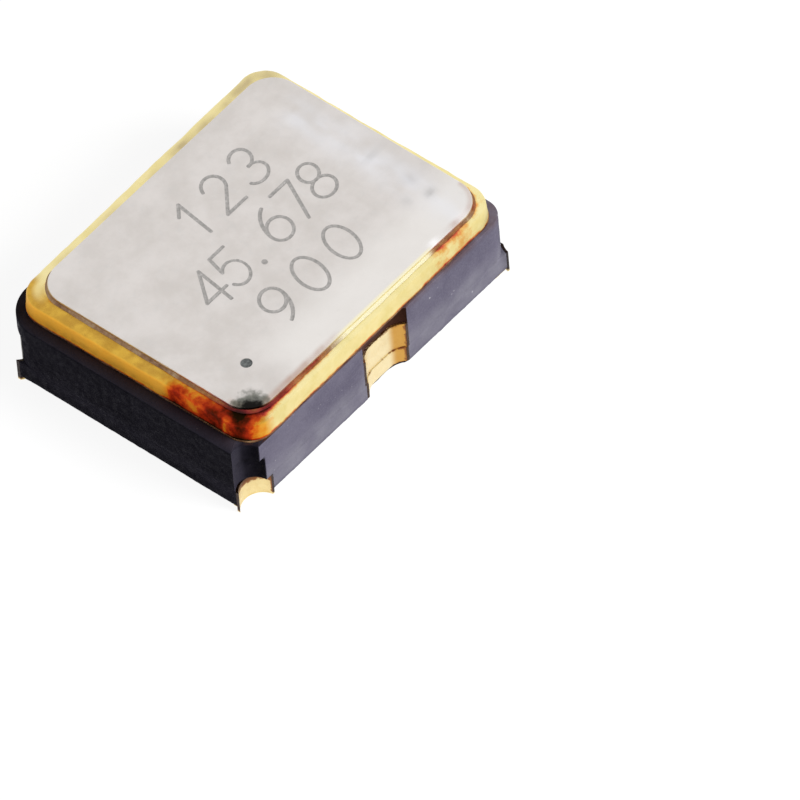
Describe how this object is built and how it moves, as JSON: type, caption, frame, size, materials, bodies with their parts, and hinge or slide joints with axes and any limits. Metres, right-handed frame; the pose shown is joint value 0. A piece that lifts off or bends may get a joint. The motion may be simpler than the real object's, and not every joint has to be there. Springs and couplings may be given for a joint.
{
  "type": "crystal oscillator",
  "caption": "Flat ceramic surface-mount oscillator case with a seam-welded metal lid on a gold ring, plated corner castellations and solder pads underneath.",
  "frame": {"origin": "middle of the footprint, on the plane of the solder pads", "axes": "+X along the 3.2 mm side, with the marked corner of pin 1 at -X -Y; +Y along the 2.5 mm side; +Z out of the lid"},
  "size_m": [0.0032, 0.0024, 0.0009],
  "materials": {
    "ceramic": "matte",
    "braze": "satin",
    "ring_gold": "satin",
    "lid_nickel": "satin",
    "terminal_gold": "satin",
    "inner_gold": "satin",
    "wire_gold": "polished",
    "silver_adhesive": "matte",
    "silicon": "polished",
    "quartz": "polished",
    "electrode_silver": "satin"
  },
  "bodies": {
    "root": {"ceramic_body": "ceramic", "ring_braze": "braze", "seal_ring": "ring_gold", "lid": "lid_nickel", "terminal_1": "terminal_gold", "terminal_2": "terminal_gold", "terminal_3": "terminal_gold", "terminal_4": "terminal_gold", "side_contact_front": "terminal_gold", "side_contact_back": "terminal_gold", "die_pad": "inner_gold", "die_attach": "silver_adhesive", "oscillator_chip": "silicon", "bond_finger_1": "inner_gold", "bond_finger_2": "inner_gold", "bond_finger_3": "inner_gold", "bond_finger_4": "inner_gold", "bond_finger_5": "inner_gold", "bond_finger_6": "inner_gold", "bond_wire_1": "wire_gold", "bond_wire_2": "wire_gold", "bond_wire_3": "wire_gold", "bond_wire_4": "wire_gold", "bond_wire_5": "wire_gold", "bond_wire_6": "wire_gold", "crystal_pad_1": "inner_gold", "crystal_pad_2": "inner_gold", "adhesive_dot_1": "silver_adhesive", "adhesive_dot_2": "silver_adhesive", "electrode_bottom": "electrode_silver", "quartz_blank": "quartz", "electrode_top": "electrode_silver"}
  },
  "joints": []
}
